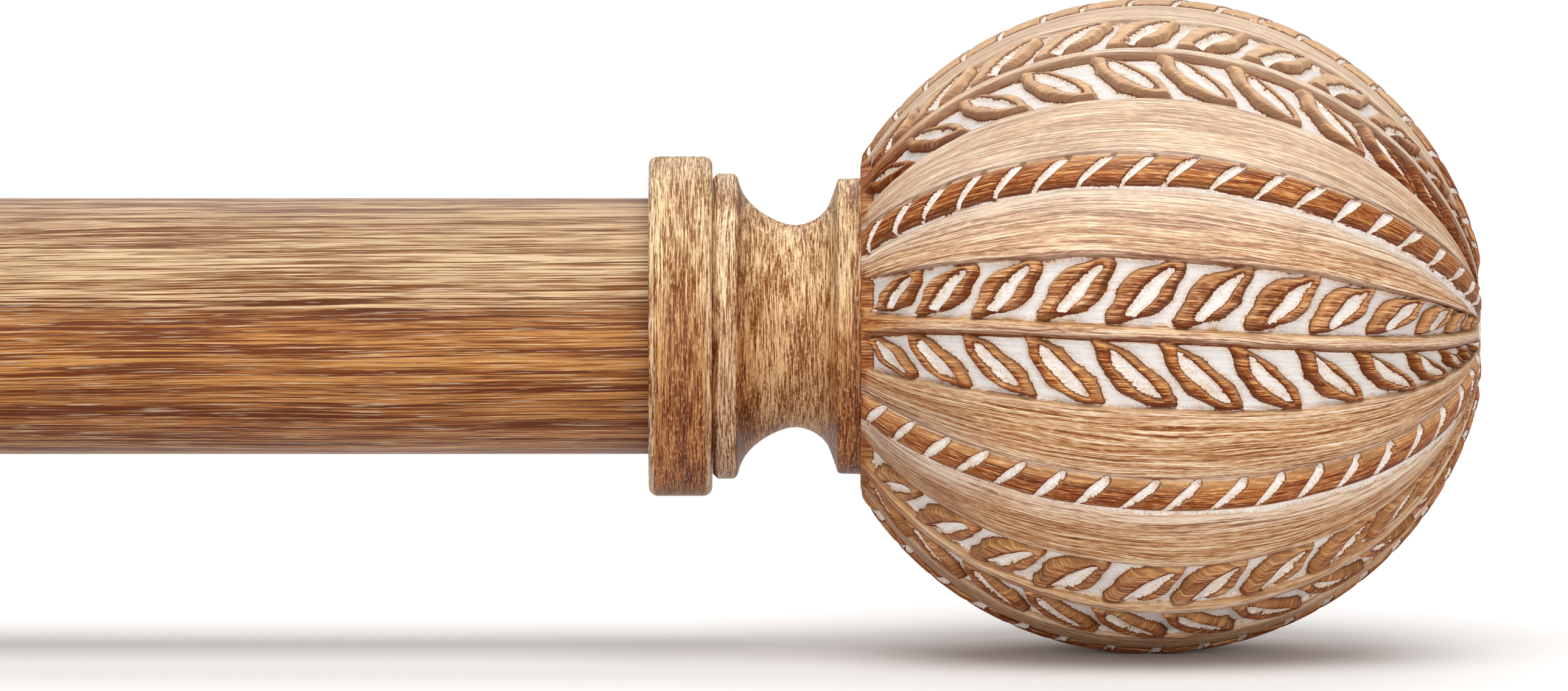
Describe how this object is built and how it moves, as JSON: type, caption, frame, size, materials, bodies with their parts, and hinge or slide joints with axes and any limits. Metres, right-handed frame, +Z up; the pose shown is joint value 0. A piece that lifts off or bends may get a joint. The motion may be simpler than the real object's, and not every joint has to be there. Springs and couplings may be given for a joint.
{
  "type": "curtain rod with brackets",
  "caption": "Telescoping curtain rod with carved ball finials, resting in U-shaped cradles on adjustable wall brackets.",
  "frame": {"origin": "centre of the right wall plate's back face, which lies on the wall", "axes": "+X along the rod towards the right finial, +Z up, the wall is on the +Y side and the room on the -Y side"},
  "size_m": [0.6222, 0.1172, 0.0644],
  "materials": {
    "rod_finish": "satin lacquer over a painted wood grain",
    "finial_finish": "cast resin, hand-painted wood tone with whitewashed recesses",
    "bracket_finish": "satin painted bronze-brown",
    "bare_steel": "zinc-plated",
    "zinc_plug": "die-cast, untreated",
    "brass_insert": "turned",
    "nylon": "moulded, natural"
  },
  "bodies": {
    "wall_bases": {"right_wall_plate": "bracket_finish", "right_arm_tube": "bracket_finish", "right_arm_bush": "nylon", "right_arm_lock_screw": "bare_steel", "left_wall_plate": "bracket_finish", "left_arm_tube": "bracket_finish", "left_arm_bush": "nylon", "left_arm_lock_screw": "bare_steel"},
    "right_arm": {"right_arm_rod": "bracket_finish", "right_cradle_lock_nut": "bracket_finish", "right_cradle": "bracket_finish", "right_cradle_liner": "nylon"},
    "right_pad": {"right_thumbscrew_pad": "nylon"},
    "right_thumbscrew": {"right_thumbscrew": "bracket_finish"},
    "left_arm": {"left_arm_rod": "bracket_finish", "left_cradle_lock_nut": "bracket_finish", "left_cradle": "bracket_finish", "left_cradle_liner": "nylon"},
    "left_pad": {"left_thumbscrew_pad": "nylon"},
    "left_thumbscrew": {"left_thumbscrew": "bracket_finish"},
    "rod": {"outer_tube": "rod_finish", "tube_mouth_guide": "nylon"},
    "inner_rod": {"inner_tube": "rod_finish", "tube_tail_glide": "nylon"},
    "right_finial": {"right_finial_collar": "finial_finish", "right_finial_neck": "finial_finish", "right_finial_ball": "finial_finish", "right_finial_plug": "zinc_plug", "right_finial_stud": "bare_steel", "right_finial_nut": "bare_steel", "right_finial_insert": "brass_insert", "right_finial_set_screw": "bare_steel"},
    "left_finial": {"left_finial_collar": "finial_finish", "left_finial_neck": "finial_finish", "left_finial_ball": "finial_finish", "left_finial_plug": "zinc_plug", "left_finial_stud": "bare_steel", "left_finial_nut": "bare_steel", "left_finial_insert": "brass_insert", "left_finial_set_screw": "bare_steel", "left_finial_reducer": "nylon"}
  },
  "joints": [
    {"name": "right_arm_slide", "type": "slide", "parent": "wall_bases", "child": "right_arm", "axis": [0, -1, 0], "range_m": [0, 0.025]},
    {"name": "left_arm_slide", "type": "slide", "parent": "wall_bases", "child": "left_arm", "axis": [0, -1, 0], "range_m": [0, 0.025]},
    {"name": "right_pad_slide", "type": "slide", "parent": "right_arm", "child": "right_pad", "axis": [0, -1, 0], "range_m": [0, 0.0025]},
    {"name": "right_thumbscrew_turn", "type": "hinge", "parent": "right_pad", "child": "right_thumbscrew", "pos_m": [0, -0.101, 0], "axis": [0, -1, 0], "range_deg": [0, 1080]},
    {"name": "left_pad_slide", "type": "slide", "parent": "left_arm", "child": "left_pad", "axis": [0, -1, 0], "range_m": [0, 0.0025]},
    {"name": "left_thumbscrew_turn", "type": "hinge", "parent": "left_pad", "child": "left_thumbscrew", "pos_m": [-0.227, -0.101, 0], "axis": [0, -1, 0], "range_deg": [0, 1080]},
    {"name": "rod_lift", "type": "slide", "parent": "right_arm", "child": "rod", "axis": [0, 0, 1], "range_m": [0, 0.06]},
    {"name": "rod_extend", "type": "slide", "parent": "rod", "child": "inner_rod", "axis": [-1, 0, 0], "range_m": [0, 0.254]},
    {"name": "right_finial_pull", "type": "slide", "parent": "rod", "child": "right_finial", "axis": [1, 0, 0], "range_m": [0, 0.03]},
    {"name": "left_finial_pull", "type": "slide", "parent": "inner_rod", "child": "left_finial", "axis": [-1, 0, 0], "range_m": [0, 0.03]}
  ],
  "couplings": [
    {"joint": "left_arm_slide", "follows": "right_arm_slide", "ratio": 1},
    {"joint": "right_pad_slide", "follows": "right_thumbscrew_turn", "m_per_rad": 0.00012732},
    {"joint": "left_pad_slide", "follows": "left_thumbscrew_turn", "m_per_rad": 0.00012732}
  ]
}
